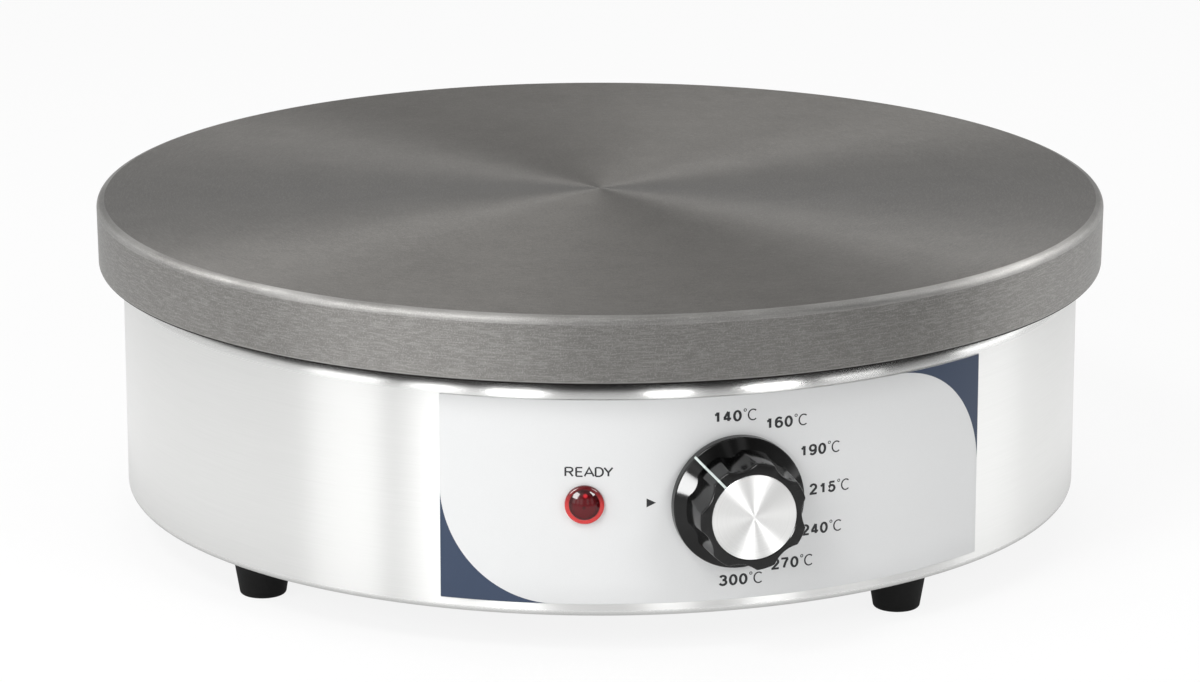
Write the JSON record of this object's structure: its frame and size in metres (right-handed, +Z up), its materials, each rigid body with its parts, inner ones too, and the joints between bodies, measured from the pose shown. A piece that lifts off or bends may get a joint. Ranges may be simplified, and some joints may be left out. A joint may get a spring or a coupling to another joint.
{
  "type": "electric crepe maker",
  "caption": "Round electric crepe maker: cast-iron griddle plate over a drum-shaped steel housing with a curved control panel, thermostat knob, indicator lamp and rubber feet.",
  "frame": {"origin": "on the drum's axis, at the level of the feet's undersides", "axes": "+Z up out of the griddle plate, -Y out of the middle of the control panel, +Y out of the cable gland at the rear"},
  "size_m": [0.3999, 0.4261, 0.1325],
  "materials": {
    "cast_iron": "machined and seasoned",
    "stainless_sheet": "fine brushed",
    "plated_steel": "zinc plated",
    "zinc_fastener": "zinc plated",
    "element_sheath": "heat-darkened",
    "ceramic": "glazed ceramic",
    "nickel_pin": "nickel",
    "ceramic_fibre": "matte fibre board",
    "copper": "drawn copper",
    "brass": "bright",
    "panel_film": "satin printed sheet",
    "phenolic": "moulded",
    "knob_black": "gloss moulded",
    "knob_aluminium": "spun",
    "pointer_white": "printed",
    "lens_red": "clear red",
    "lamp_plastic": "moulded",
    "neon_glass": "clear",
    "gland_nylon": "moulded",
    "rubber": "matte",
    "seal_rubber": "matte",
    "block_nylon": "moulded",
    "reset_red": "moulded",
    "live_sleeve": "sleeved wire",
    "neutral_sleeve": "sleeved wire",
    "earth_sleeve": "sleeved wire"
  },
  "bodies": {
    "housing": {"base_plate": "plated_steel", "base_screws": "zinc_fastener", "block_screws": "zinc_fastener", "bulb_strap": "plated_steel", "bulb_strap_screws": "zinc_fastener", "clamp_nuts": "zinc_fastener", "clamp_studs": "zinc_fastener", "column_bolts": "zinc_fastener", "control_panel": "panel_film", "earth_lead": "earth_sleeve", "earth_lug": "brass", "earth_nut": "zinc_fastener", "earth_stud": "zinc_fastener", "element_beads": "ceramic", "element_clamp_plate": "plated_steel", "element_pins": "nickel_pin", "foot_1": "rubber", "foot_2": "rubber", "foot_3": "rubber", "foot_4": "rubber", "foot_nuts": "zinc_fastener", "foot_studs": "zinc_fastener", "gland_body": "gland_nylon", "gland_cap": "gland_nylon", "gland_locknut": "gland_nylon", "gland_seal": "seal_rubber", "griddle_plate": "cast_iron", "heat_shield": "plated_steel", "heating_element": "element_sheath", "housing_drum": "stainless_sheet", "insulation_disc": "ceramic_fibre", "lamp_body": "lamp_plastic", "lamp_lens": "lens_red", "lamp_neon": "neon_glass", "lamp_nut": "plated_steel", "limiter_body": "phenolic", "limiter_bulb": "copper", "limiter_capillary": "copper", "limiter_screws": "zinc_fastener", "limiter_spades": "brass", "live_leads": "live_sleeve", "neutral_leads": "neutral_sleeve", "plate_columns": "plated_steel", "terminal_block": "block_nylon", "terminal_screws": "zinc_fastener", "thermostat_body": "phenolic", "thermostat_bracket": "plated_steel", "thermostat_bulb": "copper", "thermostat_capillary": "copper", "thermostat_screws": "zinc_fastener", "thermostat_spades": "brass"},
    "knob": {"knob": "knob_black", "knob_cap": "knob_aluminium", "knob_pointer": "pointer_white", "knob_spring_ring": "plated_steel", "thermostat_shaft": "plated_steel"},
    "reset_button": {"reset_button": "reset_red"}
  },
  "joints": [
    {"name": "knob_turn", "type": "hinge", "parent": "housing", "child": "knob", "pos_m": [0, -0.19, 0.059], "axis": [0, 1, 0], "range_deg": [-47.7, 222.3]},
    {"name": "reset_press", "type": "slide", "parent": "housing", "child": "reset_button", "axis": [0, 0, 1], "range_m": [0, 0.0015], "stiffness_N_per_m": 2000}
  ]
}
